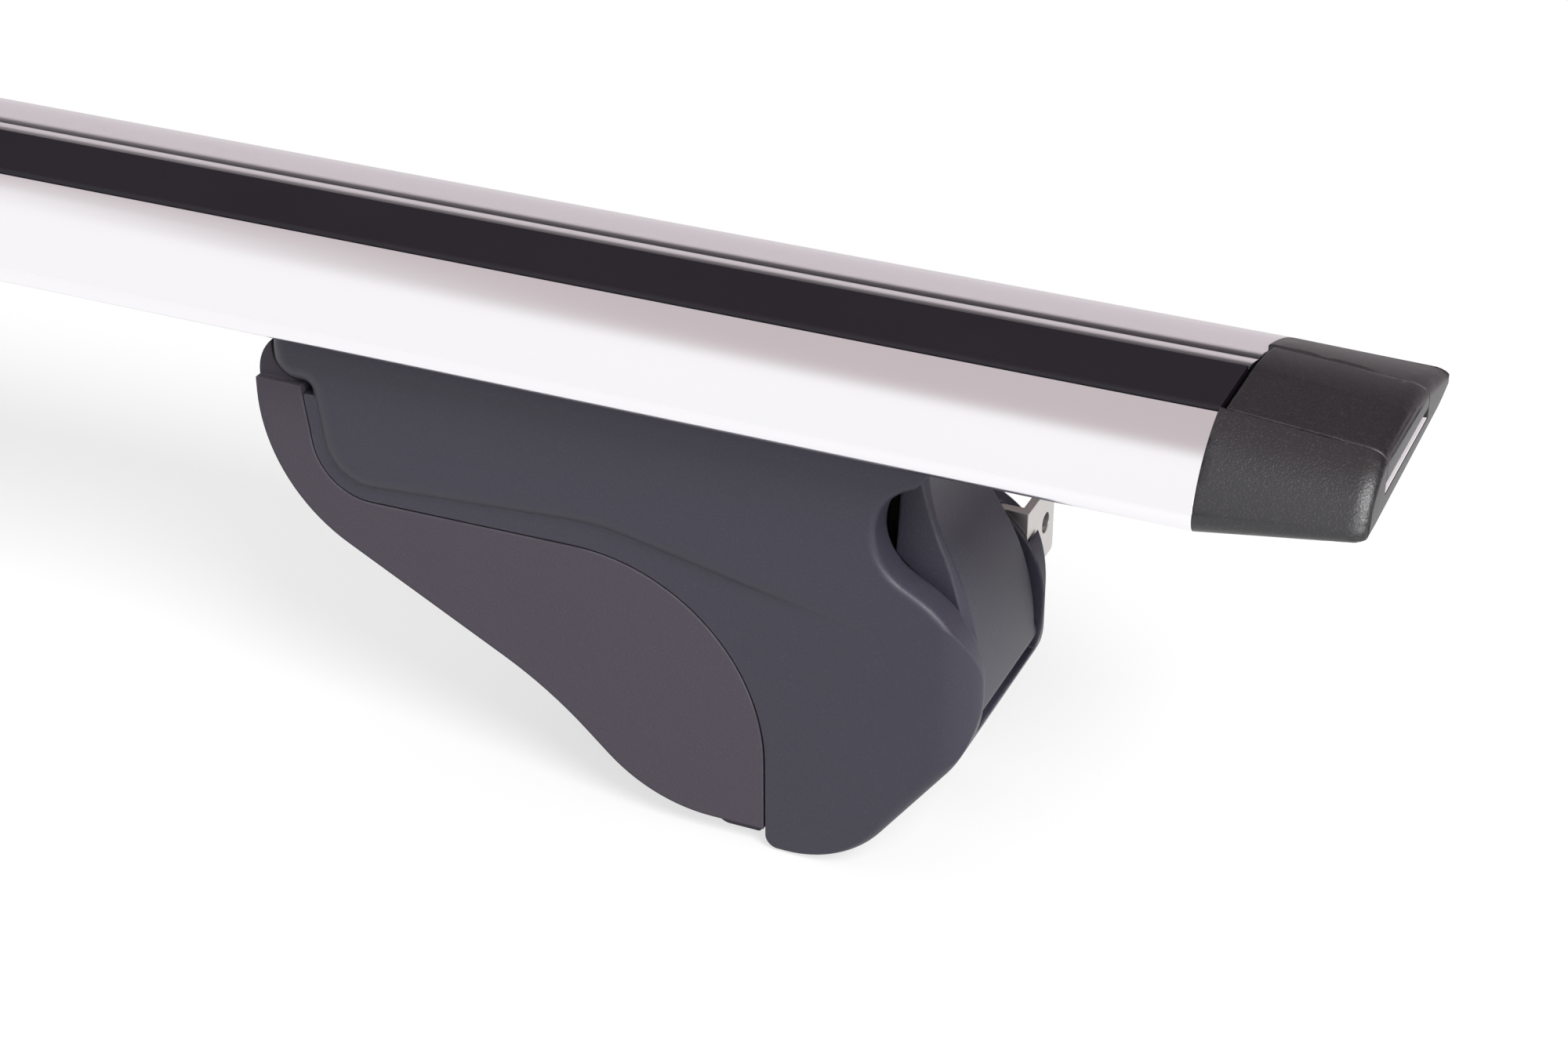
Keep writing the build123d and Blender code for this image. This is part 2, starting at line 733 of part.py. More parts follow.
def bracket_side():
    """Side view of the bracket's flanges."""
    outboard = scoop_reach - bracket_scoop_gap
    saddle_x = stop_face + bracket_saddle_gap
    saddle_z = rail_roof + bracket_saddle_gap
    outline = FilletPolyline(
        (-bracket_inboard, roof_under), (outboard, roof_under), (outboard, cover_ledge + cover_ledge_gap),
        (room_end - bracket_lip_gap, cover_shoulder), (room_end - bracket_heel_gap, bracket_heel),
        (pivot_x + bracket_lug_radius, pivot_z), (pivot_x - bracket_lug_radius, pivot_z),
        (saddle_x, pivot_z + bracket_lug_radius), (saddle_x, saddle_z), (-bracket_inboard, saddle_z),
        radius=[0, 0, 0, 0, 0, 0, 0, 0, saddle_radius - bracket_saddle_gap, 0], close=True,
    )
    return make_face(outline) + Pos(pivot_x, pivot_z) * Circle(bracket_lug_radius)


def bracket():
    """Steel channel: web under the roof, two flanges, the bolt's seat and an ear out of the rear flange."""
    outboard = scoop_reach - bracket_scoop_gap
    web = rectangle(-bracket_inboard, outboard, roof_under - bracket_thickness, roof_under)
    seat_middle = bolt_seat - seat_thickness / 2
    seat_x = nut_x + bolt_x * seat_middle
    seat_z = nut_z + bolt_z * seat_middle
    seat = Pos(seat_x, seat_z) * Rot(0, 0, bolt_tilt) * Rectangle(seat_thickness, 2 * seat_half_height)
    rear_side = bracket_side() + rectangle(room_end - ear_root, ear_face, ear_bottom, ear_top)
    ear_front = Pos((bracket_inner + ear_reach) / 2, (ear_bottom + ear_top) / 2) * RectangleRounded(
        ear_reach - bracket_inner, ear_top - ear_bottom, ear_corner_radius
    )
    ear = Pos(ear_face - ear_thickness, 0, 0) * extrude(
        Plane.YZ * (ear_front - Pos(ear_hole_y, ear_hole_z) * Circle(ear_hole_radius)), ear_thickness
    )
    solid = (
        plate(web, bracket_outer) + slab(bracket_side(), -bracket_outer, -bracket_inner)
        + slab(rear_side, bracket_inner, bracket_outer) + plate(seat, bracket_outer) + ear
    )
    pin_hole = rod(pivot_x, pivot_z, pivot_radius + running_clearance / 2, -bracket_outer, bracket_outer)
    bolt_hole = along_bolt(0, bolt_radius + screw_clearance, 2 * bolt_seat)
    return solid - pin_hole - bolt_hole - screw_holes(bar_screw_radius + screw_clearance)


def pivot_pin():
    """Pin that the claw rocks on, held in both flanges."""
    return rod(pivot_x, pivot_z, pivot_radius, -bracket_outer, bracket_outer)


def claw():
    """Steel claw: hub on the pivot, two arms with eyes for the nut and a hook under the rail."""
    hub_side = claw_hub_radius - claw_hub_margin
    hook = FilletPolyline(
        (pivot_x + hub_side, pivot_z), (pivot_x, pivot_z - claw_hub_radius - hook_drop),
        (hook_heel, claw_plate_low), (claw_tip, claw_plate_low), (claw_tip, claw_plate_high),
        (hook_throat, claw_plate_high), (pivot_x - hub_side, pivot_z - hook_drop),
        (pivot_x - hub_side, pivot_z),
        radius=[0, hook_bend, hook_bend, 0, 0, hook_throat_bend, 0, 0], close=True,
    )
    hub = Pos(pivot_x, pivot_z) * Circle(claw_hub_radius)
    lean = Pos(pivot_x, pivot_z) * Rot(0, 0, bolt_tilt + claw_swing / 2)
    arm = lean * rectangle(-hub_side, hub_side, 0, claw_arm)
    eye = Pos(nut_x, nut_z) * Circle(claw_eye_radius)
    rear_cheek = slab(arm + eye, claw_cheek_inner, claw_cheek_outer)
    front_cheek = slab(arm + eye, -claw_cheek_outer, -claw_cheek_inner)
    solid = plate(make_face(hook) + hub, claw_half_width) + rear_cheek + front_cheek
    pivot_bore = rod(pivot_x, pivot_z, pivot_radius + running_clearance, -claw_half_width, claw_half_width)
    nut_bore = rod(nut_x, nut_z, nut_radius + running_clearance, -claw_cheek_outer, claw_cheek_outer)
    return solid - pivot_bore - nut_bore


def claw_boot():
    """Plastic boot over the claw's tip."""
    low = claw_plate_low - boot_wall
    high = claw_plate_high + boot_wall
    inboard = claw_tip - boot_wall
    outline = FilletPolyline(
        (inboard, low), (inboard + boot_length, low), (inboard + boot_length, high), (inboard, high),
        radius=[boot_nose_radius, boot_heel_radius, boot_heel_radius, boot_nose_radius], close=True,
    )
    pocket = rectangle(claw_tip, 0, claw_plate_low - boot_fit, claw_plate_high + boot_fit)
    return plate(make_face(outline), boot_half_width) - plate(pocket, claw_half_width + boot_fit)


def clamp_bolt():
    """Socket head bolt, its head on the bracket's seat."""
    under_head = bolt_seat + bolt_head_gap
    shank = along_bolt(-bolt_tail, bolt_radius, under_head + bolt_tail)
    head = along_bolt(under_head, bolt_head_radius, bolt_head_height)
    socket = RegularPolygon(bolt_socket_width / 2, 6, major_radius=False)
    key_hole = extrude(across_bolt(under_head + bolt_head_height) * socket, -bolt_socket_depth)
    return shank + head - key_hole


def barrel_nut():
    """Cross nut in the claw's eyes."""
    body = rod(nut_x, nut_z, nut_radius, -claw_cheek_outer, claw_cheek_outer)
    return body - along_bolt(-2 * nut_radius, bolt_radius + nut_clearance, 4 * nut_radius)


def nut_plate():
    """Threaded plate in the bar's lower slot."""
    low = bar_underside + bar_wall
    centre = -(bar_screw_inboard + bar_screw_outboard) / 2
    block = Pos(centre, 0, low + nut_plate_thickness / 2) * Box(
        nut_plate_length, nut_plate_width, nut_plate_thickness
    )
    return block - screw_holes(bar_screw_radius + thread_clearance)


def bar_screw(inset):
    """Screw up through the bracket's web and the roof into the nut plate."""
    seat = roof_under - bracket_thickness
    reach = bar_underside + bar_wall + nut_plate_thickness - seat
    shank = Pos(-inset, 0, seat) * extrude(Circle(bar_screw_radius), reach)
    head = Pos(-inset, 0, seat) * extrude(Circle(bar_screw_head_radius), -bar_screw_head_height)
    return shank + head


def right_end():
    """Every piece at the bar's right end, in place."""
    cap_place = Pos(bar_length / 2, 0, bar_underside)
    foot_place = Pos(foot_x, 0, 0)
    blank = cap_blank()
    return {
        "cap_body": cap_place * cap_body(blank),
        "cap_flap": cap_place * cap_flap(blank),
        "flap_pin": cap_place * flap_pin(),
        "foot_shell": foot_place * foot_shell(),
        "rail_pad": foot_place * rail_pad(),
        "end_cover": foot_place * end_cover(),
        "cover_pin": foot_place * rod(
            cover_pivot_x, cover_pivot_z, cover_pin_radius, -cover_pin_half_length, cover_pin_half_length
        ),
        "bracket": foot_place * bracket(),
        "pivot_pin": foot_place * pivot_pin(),
        "claw": foot_place * claw(),
        "claw_boot": foot_place * claw_boot(),
        "clamp_bolt": foot_place * clamp_bolt(),
        "barrel_nut": foot_place * barrel_nut(),
        "nut_plate": foot_place * nut_plate(),
        "bar_screw_inboard": foot_place * bar_screw(bar_screw_inboard),
        "bar_screw_outboard": foot_place * bar_screw(bar_screw_outboard),
    }


pieces = {"bar_extrusion": bar_extrusion(), "slot_strip": slot_strip()}
for name, piece in right_end().items():
    pieces[f"right_{name}"] = piece
    pieces[f"left_{name}"] = mirror(piece, about=Plane.YZ)

os.makedirs("parts", exist_ok=True)
for name, piece in pieces.items():
    export_step(piece, f"parts/{name}.step")
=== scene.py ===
import bpy
import bmesh
import json
from math import cos, radians, sin, sqrt
from mathutils import Matrix, Vector
from mathutils.bvhtree import BVHTree
from mathutils.kdtree import KDTree


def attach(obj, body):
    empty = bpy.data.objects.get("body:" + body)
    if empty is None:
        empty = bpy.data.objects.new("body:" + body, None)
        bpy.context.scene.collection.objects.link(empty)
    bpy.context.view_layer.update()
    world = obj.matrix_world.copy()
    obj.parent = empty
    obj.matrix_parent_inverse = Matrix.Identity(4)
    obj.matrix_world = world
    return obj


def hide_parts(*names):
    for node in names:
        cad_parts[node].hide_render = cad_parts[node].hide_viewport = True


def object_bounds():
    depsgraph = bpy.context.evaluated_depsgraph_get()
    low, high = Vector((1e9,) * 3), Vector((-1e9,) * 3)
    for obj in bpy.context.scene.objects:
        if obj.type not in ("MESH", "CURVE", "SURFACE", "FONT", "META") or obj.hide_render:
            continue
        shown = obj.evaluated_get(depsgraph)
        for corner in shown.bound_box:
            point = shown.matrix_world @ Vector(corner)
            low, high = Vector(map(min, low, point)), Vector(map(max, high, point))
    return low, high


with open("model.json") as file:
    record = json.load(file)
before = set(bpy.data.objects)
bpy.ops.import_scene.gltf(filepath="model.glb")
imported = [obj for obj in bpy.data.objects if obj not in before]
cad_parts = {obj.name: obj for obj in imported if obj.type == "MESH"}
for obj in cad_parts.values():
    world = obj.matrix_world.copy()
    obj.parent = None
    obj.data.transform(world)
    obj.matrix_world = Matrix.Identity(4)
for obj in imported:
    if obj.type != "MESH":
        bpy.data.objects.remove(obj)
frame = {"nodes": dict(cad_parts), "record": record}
cad_low, cad_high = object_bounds()
nodes = frame["nodes"]
scene = bpy.context.scene
scene.view_settings.view_transform = "Standard"
sides = {"right": 1, "left": -1}
white = (1, 1, 1)
black = (0, 0, 0)

# End caps, in metres: their outboard end, the seams of the flap and the ledge under it
cap_end = cad_high[0]
flap_seams = (-0.0236, 0.0135)
ledge_height = 0.12665

# Sill on the ledge, pale to paint the highlight in the slit under the flap: how far it keeps from the cap's
# end and from the seams, and its section
sill_inset = 0.00015
sill_gap = 0.0005
sill_width = 0.00275
sill_thickness = 0.00018
sill_chamfer = (0.0001, 0.00009)

# Rolled outboard edge of a cap: it starts roll_depth in from the end and is cut there in roll_steps.
# Towards nose and tail, over thin_run up to thin_end from the middle, it shrinks to its side size.
# Points deeper than roll_give times the roll's sink stay where they are.
roll_depth = 0.009
roll_steps = 16
roll_reach = {"side": 0.0045, "under": 0.007}
roll_height = {"side": 0.0018, "top": 0.0030, "under": 0.0034}
roll_give = 1.3
thin_end = 0.036
thin_run = 0.014
crease_angle = radians(28)

# Slack of the cuts and welds, and the rays that tell the outside of a cap from its inside
point_weld = 0.000002
cut_slack = 0.000001
rim_slack = 0.000003
sliver = 0.000015
ray_lift = 0.00002
ray_tilts = (-0.3, 0, 0.3)
end_face_lean = 0.8

# Floor
floor_half = 20
floor_drop = 0.0005
floor_lift = 0.68

# Camera at the photograph's place and angle
camera_place = (0.70802, -0.58570, 0.44333)
camera_turn = radians(23.68)
camera_dip = radians(30)
camera_lens = 72
camera_sensor = 36


# Node helpers

def put(tree, socket, value):
    """Links a socket to an input, or sets the input to a plain value."""
    if isinstance(value, bpy.types.NodeSocket):
        tree.links.new(value, socket)
    else:
        socket.default_value = value


def math_node(tree, operation, first, second, clamp=False):
    """Math node; each operand is a socket or a number."""
    node = tree.nodes.new("ShaderNodeMath")
    node.operation = operation
    node.use_clamp = clamp
    put(tree, node.inputs[0], first)
    put(tree, node.inputs[1], second)
    return node.outputs[0]


def above(tree, value, floor, gain, clamp=False):
    """How far a value stands above a floor, times a gain."""
    return math_node(tree, "MULTIPLY", math_node(tree, "SUBTRACT", value, floor), gain, clamp)


def mix_colour(tree, factor, first, second):
    """Colour mix; each operand is a socket or a value."""
    node = tree.nodes.new("ShaderNodeMix")
    node.data_type = "RGBA"
    put(tree, node.inputs[0], factor)
    put(tree, node.inputs[6], first)
    put(tree, node.inputs[7], second)
    return node.outputs[2]


def noise_node(tree, vector, scale, detail):
    """Noise texture's value on a vector; the scale is a socket or a number."""
    node = tree.nodes.new("ShaderNodeTexNoise")
    node.inputs["Detail"].default_value = detail
    put(tree, node.inputs["Vector"], vector)
    put(tree, node.inputs["Scale"], scale)
    return node.outputs["Fac"]


def ramp_node(tree, factor, stops):
    """Smooth ramp of grey or colour; each stop is a position and a colour."""
    node = tree.nodes.new("ShaderNodeValToRGB")
    node.color_ramp.interpolation = "EASE"
    elements = node.color_ramp.elements
    while len(elements) < len(stops):
        elements.new(0.5)
    for element, (position, colour) in zip(elements, stops):
        element.position = position
        element.color = (*colour, 1)
    put(tree, node.inputs["Fac"], factor)
    return node.outputs["Color"]


def place_group(tree, group, **values):
    """Puts a node group into a material, with its own values or links."""
    node = tree.nodes.new("ShaderNodeGroup")
    node.node_tree = group
    for label, value in values.items():
        put(tree, node.inputs[label.replace("_", " ")], value)
    return node.outputs


# Node groups shared by the materials

def new_group(name, inputs, outputs):
    """Shader node group with named inputs (name, type, default) and outputs (name, type)."""
    group = bpy.data.node_groups.new(name, "ShaderNodeTree")
    for label, kind, default in inputs:
        socket = group.interface.new_socket(label, in_out="INPUT", socket_type=kind)
        if default is not None:
            socket.default_value = default
    for label, kind in outputs:
        group.interface.new_socket(label, in_out="OUTPUT", socket_type=kind)
    return group, group.nodes.new("NodeGroupInput").outputs, group.nodes.new("NodeGroupOutput").inputs


def make_tone():
    """Slow drift of a colour and a roughness, with a few lighter specks."""
    group, given, result = new_group(
        "tone",
        inputs=[
            ("Vector", "NodeSocketVector", None),
            ("Color", "NodeSocketColor", (0.5, 0.5, 0.5, 1)),
            ("Speck Color", "NodeSocketColor", (0.5, 0.5, 0.5, 1)),
            ("Drift", "NodeSocketFloat", 0.1),
            ("Specks", "NodeSocketFloat", 0.2),
            ("Pitch", "NodeSocketFloat", 1700.0),
            ("Roughness", "NodeSocketFloat", 0.5),
        ],
        outputs=[("Color", "NodeSocketColor"), ("Roughness", "NodeSocketFloat")],
    )
    cloud = noise_node(group, given["Vector"], scale=22, detail=4)
    swing = above(group, cloud, floor=0.5, gain=given["Drift"])
    level = math_node(group, "ADD", swing, 1)
    shade = group.nodes.new("ShaderNodeVectorMath")
    shade.operation = "SCALE"
    put(group, shade.inputs[0], given["Color"])
    put(group, shade.inputs["Scale"], level)
    dust = noise_node(group, given["Vector"], scale=given["Pitch"], detail=2)
    speck = above(group, dust, floor=0.55, gain=5, clamp=True)
    share = math_node(group, "MULTIPLY", speck, given["Specks"])
    put(group, result["Color"], mix_colour(group, share, shade.outputs[0], given["Speck Color"]))
    put(group, result["Roughness"], math_node(group, "MULTIPLY", given["Roughness"], level))
    return group


def make_grain():
    """Height of a moulded grain: fine pits over a coarser orange peel."""
    group, given, result = new_group(
        "grain",
        inputs=[
            ("Vector", "NodeSocketVector", None),
            ("Pitch", "NodeSocketFloat", 1500.0),
            ("Peel", "NodeSocketFloat", 0.3),
        ],
        outputs=[("Height", "NodeSocketFloat")],
    )
    peel_share = 0.22
    pits = noise_node(group, given["Vector"], scale=given["Pitch"], detail=3)
    coarse = math_node(group, "MULTIPLY", given["Pitch"], peel_share)
    broad = noise_node(group, given["Vector"], scale=coarse, detail=2)
    peel = math_node(group, "MULTIPLY", broad, given["Peel"])
    put(group, result["Height"], math_node(group, "ADD", pits, peel))
    return group


def make_streaks():
    """Lengthwise drawing lines of an extrusion, along X."""
    group, given, result = new_group(
        "streaks",
        inputs=[("Vector", "NodeSocketVector", None), ("Strength", "NodeSocketFloat", 0.1)],
        outputs=[("Height", "NodeSocketFloat"), ("Level", "NodeSocketFloat")],
    )
    along_pitch = 1.2
    across_pitch = 900
    stretch = group.nodes.new("ShaderNodeMapping")
    stretch.inputs["Scale"].default_value = (along_pitch, across_pitch, across_pitch)
    put(group, stretch.inputs["Vector"], given["Vector"])
    lines = noise_node(group, stretch.outputs[0], scale=1, detail=3)
    swing = above(group, lines, floor=0.5, gain=given["Strength"])
    put(group, result["Height"], lines)
    put(group, result["Level"], math_node(group, "ADD", swing, 1))
    return group


def make_edges():
    """Softened normal of the edges, and a broken mask of where they are rubbed."""
    group, given, result = new_group(
        "edges",
        inputs=[
            ("Vector", "NodeSocketVector", None),
            ("Radius", "NodeSocketFloat", 0.0005),
            ("Wear", "NodeSocketFloat", 0.5),
        ],
        outputs=[("Mask", "NodeSocketFloat"), ("Normal", "NodeSocketVector")],
    )
    soft = group.nodes.new("ShaderNodeBevel")
    soft.samples = 6
    put(group, soft.inputs["Radius"], given["Radius"])
    surface = group.nodes.new("ShaderNodeNewGeometry")
    along = group.nodes.new("ShaderNodeVectorMath")
    along.operation = "DOT_PRODUCT"
    put(group, along.inputs[0], soft.outputs[0])
    put(group, along.inputs[1], surface.outputs["Normal"])
    bend = above(group, 1, floor=along.outputs["Value"], gain=4, clamp=True)
    patches = noise_node(group, given["Vector"], scale=170, detail=5)
    broken = above(group, patches, floor=0.36, gain=3.5, clamp=True)
    rubbed = math_node(group, "MULTIPLY", bend, broken)
    put(group, result["Mask"], math_node(group, "MULTIPLY", rubbed, given["Wear"], clamp=True))
    put(group, result["Normal"], soft.outputs[0])
    return group


tone = make_tone()
grain = make_grain()
streaks = make_streaks()
edges = make_edges()


# Materials

def start_material(name, metallic):
    """Empty material: its tree, shader, bump and the place on the object."""
    material = bpy.data.materials.new(name)
    material.use_nodes = True
    tree = material.node_tree
    shader = tree.nodes["Principled BSDF"]
    shader.inputs["Metallic"].default_value = metallic
    bump = tree.nodes.new("ShaderNodeBump")
    bump.inputs["Strength"].default_value = 1
    put(tree, shader.inputs["Normal"], bump.outputs[0])
    place = tree.nodes.new("ShaderNodeTexCoord").outputs["Object"]
    return material, tree, shader, bump, place


def moulded(name, colour, speck, worn, drift, specks, roughness, pitch, peel, depth, edge, wear, specular):
    """Plastic or rubber with a moulded grain and rubbed edges."""
    material, tree, shader, bump, place = start_material(name, 0)
    shader.inputs["Specular IOR Level"].default_value = specular
    tones = place_group(
        tree, tone, Vector=place, Color=(*colour, 1), Speck_Color=(*speck, 1), Drift=drift, Specks=specks,
        Pitch=pitch, Roughness=roughness,
    )
    rim = place_group(tree, edges, Vector=place, Radius=edge, Wear=wear)
    texture = place_group(tree, grain, Vector=place, Pitch=pitch, Peel=peel)
    put(tree, shader.inputs["Base Color"], mix_colour(tree, rim["Mask"], tones["Color"], (*worn, 1)))
    put(tree, shader.inputs["Roughness"], tones["Roughness"])
    put(tree, bump.inputs["Height"], texture["Height"])
    put(tree, bump.inputs["Normal"], rim["Normal"])
    bump.inputs["Distance"].default_value = depth
    return material


def drawn_metal(name, colour, worn, drift, roughness, lines, depth, edge, wear):
    """Bare metal with drawing lines and rubbed edges."""
    material, tree, shader, bump, place = start_material(name, 1)
    tones = place_group(
        tree, tone, Vector=place, Color=(*colour, 1), Speck_Color=(*colour, 1), Drift=drift, Specks=0.0,
        Roughness=roughness,
    )
    rim = place_group(tree, edges, Vector=place, Radius=edge, Wear=wear)
    texture = place_group(tree, streaks, Vector=place, Strength=lines)
    put(tree, shader.inputs["Base Color"], mix_colour(tree, rim["Mask"], tones["Color"], (*worn, 1)))
    put(tree, shader.inputs["Roughness"], math_node(tree, "MULTIPLY", tones["Roughness"], texture["Level"]))
    put(tree, bump.inputs["Height"], texture["Height"])
    put(tree, bump.inputs["Normal"], rim["Normal"])
    bump.inputs["Distance"].default_value = depth
    return material


looks = {
    "bar_aluminium": drawn_metal(
        "bar_aluminium", colour=(0.93, 0.915, 0.94), worn=(0.95, 0.94, 0.95),
        drift=0.02, roughness=0.17, lines=0.08, depth=0.0000004, edge=0.0003, wear=0.3,
    ),
    "strip_rubber": moulded(
        "strip_rubber", colour=(0.0098, 0.0072, 0.0125), speck=(0.05, 0.048, 0.05), worn=(0.05, 0.046, 0.05),
        drift=0.3, specks=0.05, roughness=0.40, pitch=900, peel=0.5, depth=0.00001,
        edge=0.0004, wear=0.4, specular=0.3,
    ),
    "cap_plastic": moulded(
        "cap_plastic", colour=(0.0060, 0.0044, 0.0066), speck=(0.070, 0.060, 0.080), worn=(0.15, 0.14, 0.15),
        drift=0.3, specks=0.45, roughness=0.38, pitch=2200, peel=0.15, depth=0.00010,
        edge=0.0006, wear=0.65, specular=0.75,
    ),
    "foot_plastic": moulded(
        "foot_plastic", colour=(0.044, 0.041, 0.060), speck=(0.085, 0.080, 0.110), worn=(0.17, 0.16, 0.20),
        drift=0.10, specks=0.3, roughness=0.44, pitch=1900, peel=0.4, depth=0.00005,
        edge=0.0010, wear=0.8, specular=0.4,
    ),
    "pad_rubber": moulded(
        "pad_rubber", colour=(0.088, 0.076, 0.097), speck=(0.135, 0.12, 0.145), worn=(0.19, 0.17, 0.20),
        drift=0.10, specks=0.3, roughness=0.72, pitch=1500, peel=0.7, depth=0.00006,
        edge=0.0007, wear=0.5, specular=0.3,
    ),
    "zinc_steel": drawn_metal(
        "zinc_steel", colour=(0.60, 0.575, 0.56), worn=(0.40, 0.36, 0.31),
        drift=0.25, roughness=0.36, lines=0.3, depth=0.000004, edge=0.0004, wear=0.5,
    ),
}
# Near-white plastic of the ledge's sill: its colour is a painted highlight in the slit under the flap
painted_highlight_plastic = moulded(
    "painted_highlight_plastic", colour=(0.86, 0.80, 0.84), speck=(0.80, 0.76, 0.78), worn=(0.80, 0.76, 0.78),
    drift=0.15, specks=0.2, roughness=0.40, pitch=1300, peel=0.4, depth=0.00002,
    edge=0.0001, wear=0.3, specular=0.5,
)
slot_of = {entry["node"]: entry["material_slot"] for entry in frame["record"]["subparts"]}
for name, node in nodes.items():
    node.data.materials.clear()
    node.data.materials.append(looks[slot_of[name]])


# Pieces added to the solids

def drawn_strip(name, section, start, end):
    """Straight strip along Y with a given XZ section."""
    count = len(section)
    points = [(x, y, z) for y in (start, end) for x, z in section]
    faces = [tuple(range(count)), tuple(range(2 * count - 1, count - 1, -1))]
    for index in range(count):
        after = (index + 1) % count
        faces.append((after, index, count + index, count + after))
    mesh = bpy.data.meshes.new(name)
    mesh.from_pydata(points, [], faces)
    piece = bpy.data.objects.new(name, mesh)
    scene.collection.objects.link(piece)
    return piece


def painted_highlight_sill(side, sign):
    """Pale edge of the cap's ledge, seen in the slit under the flap: a painted highlight."""
    outer = cap_end - sill_inset
    inner = outer - sill_width
    top = ledge_height + sill_thickness
    section = [
        (inner, ledge_height),
        (outer, ledge_height),
        (outer, top - sill_chamfer[1]),
        (outer - sill_chamfer[0], top),
        (inner, top),
    ]
    front = flap_seams[0] + sill_gap
    rear = flap_seams[1] - sill_gap
    piece = drawn_strip(f"{side}_painted_highlight_sill", [(sign * x, z) for x, z in section], front, rear)
    piece.data.materials.append(painted_highlight_plastic)
    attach(piece, "bar")


def is_outer(face, surfaces):
    """True where nothing stands in front of a face, so it belongs to the outside of the cap."""
    start = face.calc_center_median() + face.normal * ray_lift
    ways = [face.normal + Vector((0, tilt, 0)) for tilt in ray_tilts]
    return not any(tree.ray_cast(start, way)[0] for tree in surfaces for way in ways)


def cut_form(node, sign):
    """Mesh of a cap piece, cut across at the steps in which its outboard edge rolls over."""
    form = bmesh.new()
    form.from_mesh(node.data)
    bmesh.ops.remove_doubles(form, verts=form.verts, dist=point_weld)
    for step in range(1, roll_steps + 1):
        depth = roll_depth * (step / roll_steps) ** 2
        everything = form.verts[:] + form.edges[:] + form.faces[:]
        cut = Vector((sign * (cap_end - depth), 0, 0))
        bmesh.ops.bisect_plane(form, geom=everything, dist=cut_slack, plane_co=cut, plane_no=(1, 0, 0))
    form.normal_update()
    return form


def rim_points(form, surfaces, sign):
    """Points of the outside where the roll starts, each with its normal."""
    found = []
    for face in form.faces:
        corners = [v for v in face.verts if abs(cap_end - sign * v.co.x - roll_depth) < rim_slack]
        if corners and abs(face.normal.x) < end_face_lean and is_outer(face, surfaces):
            found += [(Vector((0, v.co.y, v.co.z)), face.normal.copy()) for v in corners]
    return found


def roll_size(point, across):
    """Reach along the bar and height of the roll, at a rim point that faces across the bar."""
    middle = min(max((thin_end - abs(point.y)) / thin_run, 0), 1)
    under = max(-across.z, 0)
    top = max(across.z, 0)
    reach = roll_reach["side"] + (roll_reach["under"] - roll_reach["side"]) * under * middle
    height = roll_height["side"] + middle * top * (roll_height["top"] - roll_height["side"])
    height += middle * under * (roll_height["under"] - roll_height["side"])
    return reach, height


def roll_over(form, rim, tree, sign):
    """Draws the points near the outboard edge in, so that the edge rolls over."""
    for vertex in form.verts:
        depth = cap_end - sign * vertex.co.x
        if depth < roll_depth:
            flat = Vector((0, vertex.co.y, vertex.co.z))
            point, normal = rim[tree.find(flat)[1]]
            across = Vector((0, normal.y, normal.z))
            lean = sign * normal.x / across.length
            across.normalize()
            reach, height = roll_size(point, across)
            share = max(1 - max(depth, 0) / reach, 0)
            sink = height * (1 - sqrt(1 - share**2))
            taper = lean * (roll_depth - depth)
            inside = (point - flat).dot(across) - taper
            if inside < roll_give * sink:
                beside = max(flap_seams[0] - vertex.co.y, vertex.co.y - flap_seams[1], 0)
                across.y *= min(beside / roll_depth, 1)
                vertex.co -= across * (sink - inside / roll_give)


def rolled_cap(side, sign):
    """End cap and its flap with the soft outboard edges of the moulding."""
    pieces = {f"{side}_cap_body": "bar", f"{side}_cap_flap": f"{side}_flap"}
    surfaces = []
    for name in pieces:
        data = nodes[name].data
        points = [corner.co.copy() for corner in data.vertices]
        surfaces.append(BVHTree.FromPolygons(points, [tuple(face.vertices) for face in data.polygons]))
    forms = {name: cut_form(nodes[name], sign) for name in pieces}
    rim = [point for form in forms.values() for point in rim_points(form, surfaces, sign)]
    tree = KDTree(len(rim))
    for index, (point, normal) in enumerate(rim):
        tree.insert(point, index)
    tree.balance()
    for name, form in forms.items():
        roll_over(form, rim, tree, sign)
        bmesh.ops.remove_doubles(form, verts=form.verts, dist=sliver)
        bmesh.ops.dissolve_degenerate(form, dist=sliver, edges=form.edges)
        bmesh.ops.triangulate(form, faces=form.faces)
        mesh = bpy.data.meshes.new(f"{name}_rolled")
        form.to_mesh(mesh)
        form.free()
        mesh.polygons.foreach_set("use_smooth", [True] * len(mesh.polygons))
        mesh.set_sharp_from_angle(angle=crease_angle)
        mesh.materials.append(looks["cap_plastic"])
        piece = bpy.data.objects.new(mesh.name, mesh)
        scene.collection.objects.link(piece)
        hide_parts(name)
        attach(piece, pieces[name])


for side, sign in sides.items():
    painted_highlight_sill(side, sign)
    rolled_cap(side, sign)


# Floor, light and camera

def mirrored_rays(tree, path):
    """1 for the rays in which metal mirrors its surroundings, else 0."""
    return math_node(tree, "MAXIMUM", path["Is Glossy Ray"], path["Is Transmission Ray"])


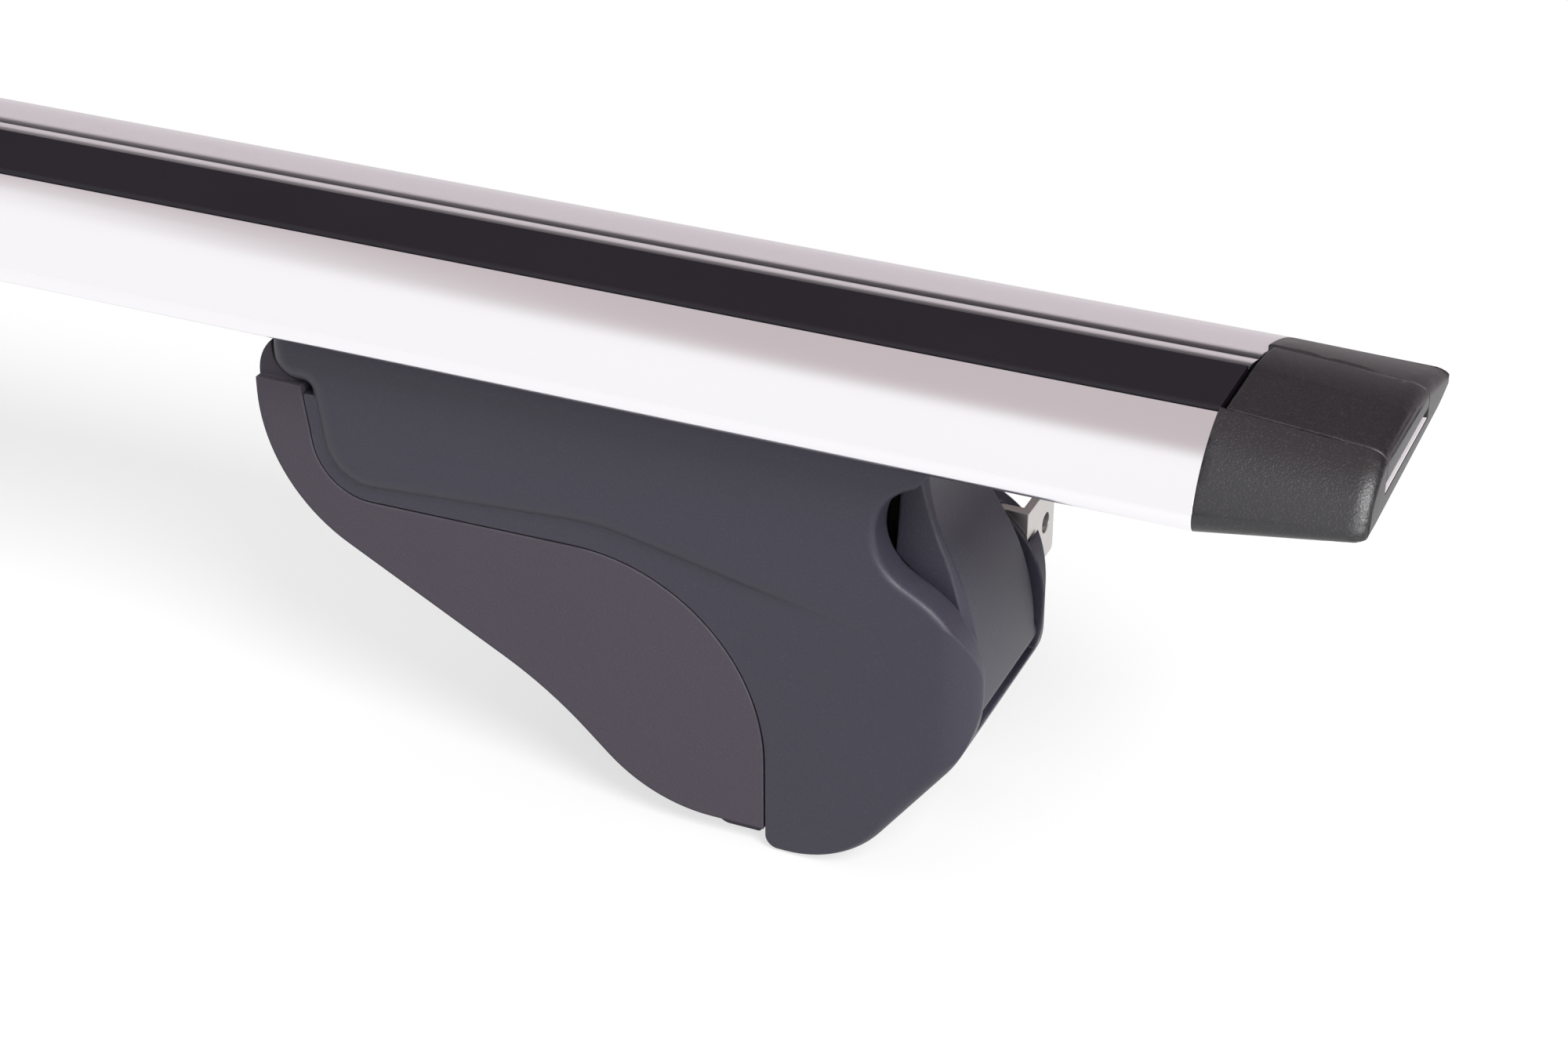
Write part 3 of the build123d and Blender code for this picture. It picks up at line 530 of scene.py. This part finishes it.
def floor():
    """White floor that keeps the shadow; its reflection in the metal is greyer far behind the bar."""
    near_grey = (0.33, 0.33, 0.33, 1)
    far_grey = (0.62, 0.57, 0.59, 1)
    corners = [(-1, -1), (1, -1), (1, 1), (-1, 1)]
    mesh = bpy.data.meshes.new("floor")
    mesh.from_pydata([(x * floor_half, y * floor_half, 0) for x, y in corners], [], [(0, 1, 2, 3)])
    plane = bpy.data.objects.new("floor", mesh)
    scene.collection.objects.link(plane)
    plane.location.z = -floor_drop
    material = bpy.data.materials.new("floor")
    material.use_nodes = True
    tree = material.node_tree
    shader = tree.nodes["Principled BSDF"]
    shader.inputs["Roughness"].default_value = 0.9
    shader.inputs["Specular IOR Level"].default_value = 0
    shader.inputs["Emission Color"].default_value = (*white, 1)
    place = tree.nodes.new("ShaderNodeSeparateXYZ")
    put(tree, place.inputs[0], tree.nodes.new("ShaderNodeTexCoord").outputs["Object"])
    far = ramp_node(tree, place.outputs["Y"], [(0.15, black), (0.70, white)])
    path = tree.nodes.new("ShaderNodeLightPath").outputs
    mirrored = mirrored_rays(tree, path)
    greyer = math_node(tree, "MULTIPLY", mirrored, far)
    put(tree, shader.inputs["Base Color"], mix_colour(tree, greyer, near_grey, far_grey))
    seen = math_node(tree, "SUBTRACT", math_node(tree, "MAXIMUM", path["Is Camera Ray"], mirrored), greyer)
    put(tree, shader.inputs["Emission Strength"], math_node(tree, "MULTIPLY", seen, floor_lift))
    mesh.materials.append(material)


def studio():
    """Room: soft light from above; reflections show a white front, a dark rear wall and a grey ceiling."""
    ceiling = (0.585, 0.525, 0.53)
    wall = (0.03, 0.027, 0.03)
    skirting = (0.66, 0.60, 0.62)
    low_light = (0.08, 0.08, 0.08)
    high_light = (0.52, 0.515, 0.52)
    world = bpy.data.worlds.new("studio")
    scene.world = world
    world.use_nodes = True
    tree = world.node_tree
    background = tree.nodes["Background"].inputs
    direction = tree.nodes.new("ShaderNodeSeparateXYZ")
    put(tree, direction.inputs[0], tree.nodes.new("ShaderNodeTexCoord").outputs["Generated"])
    height = direction.outputs["Z"]
    front = ramp_node(tree, height, [(0.78, white), (0.92, ceiling)])
    back = ramp_node(tree, height, [(0.02, skirting), (0.22, wall), (0.48, wall), (0.62, ceiling)])
    rearward = math_node(tree, "ADD", direction.outputs["Y"], 0.5)
    behind = ramp_node(tree, rearward, [(0.45, black), (0.75, white)])
    room = mix_colour(tree, behind, front, back)
    light = ramp_node(tree, height, [(0.0, low_light), (0.9, high_light)])
    path = tree.nodes.new("ShaderNodeLightPath").outputs
    shown = mix_colour(tree, mirrored_rays(tree, path), light, room)
    put(tree, background["Color"], mix_colour(tree, path["Is Camera Ray"], shown, (*white, 1)))
    background["Strength"].default_value = 1


def aim_lamp(name, data, direction):
    """Lamp that shines in a given direction."""
    lamp = bpy.data.objects.new(name, data)
    scene.collection.objects.link(lamp)
    lamp.rotation_euler = Vector(direction).to_track_quat("-Z", "Y").to_euler()
    return lamp


def sun(name, direction, strength, angle):
    """Broad soft light from one direction."""
    data = bpy.data.lights.new(name, "SUN")
    data.energy = strength
    data.angle = radians(angle)
    aim_lamp(name, data, direction)


def soft_box(name, place, target, size, power):
    """Square soft lamp aimed at a point."""
    data = bpy.data.lights.new(name, "AREA")
    data.size = size
    data.energy = power
    lamp = aim_lamp(name, data, Vector(target) - Vector(place))
    lamp.location = place


def camera():
    """Camera that looks across the bar and down on its right end."""
    data = bpy.data.cameras.new("camera")
    data.sensor_fit = "HORIZONTAL"
    data.sensor_width = camera_sensor
    data.lens = camera_lens
    data.clip_start = 0.01
    data.clip_end = 100
    view = bpy.data.objects.new("camera", data)
    scene.collection.objects.link(view)
    level = cos(camera_dip)
    ahead = Vector((-level * sin(camera_turn), level * cos(camera_turn), -sin(camera_dip)))
    aim = ahead.to_track_quat("-Z", "Y").to_matrix().to_4x4()
    view.matrix_world = Matrix.Translation(camera_place) @ aim
    scene.camera = view


floor()
studio()
sun("key", direction=(-0.55, 0.42, -0.72), strength=2.6, angle=24)
soft_box("right_fill", place=(0.86, -0.44, 0.24), target=(0.48, 0, 0.04), size=0.3, power=1.0)
camera()
